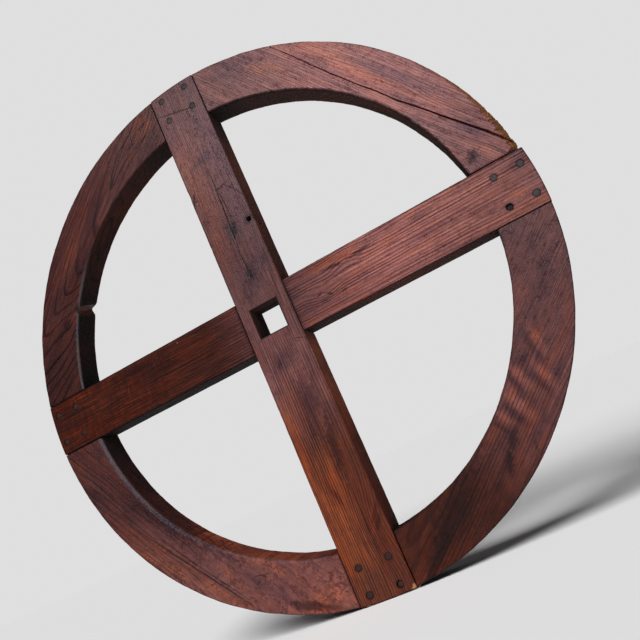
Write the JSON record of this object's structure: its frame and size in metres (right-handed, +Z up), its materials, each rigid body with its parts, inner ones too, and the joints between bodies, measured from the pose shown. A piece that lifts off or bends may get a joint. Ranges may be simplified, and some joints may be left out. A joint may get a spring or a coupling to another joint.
{
  "type": "spinning wheel drive wheel",
  "caption": "Flat wooden spinning wheel drive wheel: curved felloes pegged to the ends of crossing, half-lapped spokes, with a square axle hole at the hub.",
  "frame": {"origin": "centre of the wheel, halfway through its thickness", "axes": "+Y along the spin axis towards the back face, so the front face looks along -Y; +Z up along the upright spoke; +X along the level spoke, to the right seen from the front"},
  "size_m": [0.606, 0.032, 0.606],
  "materials": {
    "spoke_wood": "old oiled red-brown softwood, worn satin",
    "felloe_wood": "old oiled dark red-brown softwood, worn satin",
    "peg_wood": "blackened end grain, matt"
  },
  "bodies": {
    "root": {"spoke_upright": "spoke_wood", "spoke_level": "spoke_wood", "felloe_top_left": "felloe_wood", "felloe_bottom_left": "felloe_wood", "felloe_bottom_right": "felloe_wood", "felloe_top_right": "felloe_wood", "peg_top_1": "peg_wood", "peg_top_2": "peg_wood", "peg_top_3": "peg_wood", "peg_top_4": "peg_wood", "peg_left_1": "peg_wood", "peg_left_2": "peg_wood", "peg_left_3": "peg_wood", "peg_left_4": "peg_wood", "peg_bottom_1": "peg_wood", "peg_bottom_2": "peg_wood", "peg_bottom_3": "peg_wood", "peg_bottom_4": "peg_wood", "peg_right_1": "peg_wood", "peg_right_2": "peg_wood", "peg_right_3": "peg_wood", "peg_right_4": "peg_wood"}
  },
  "joints": []
}
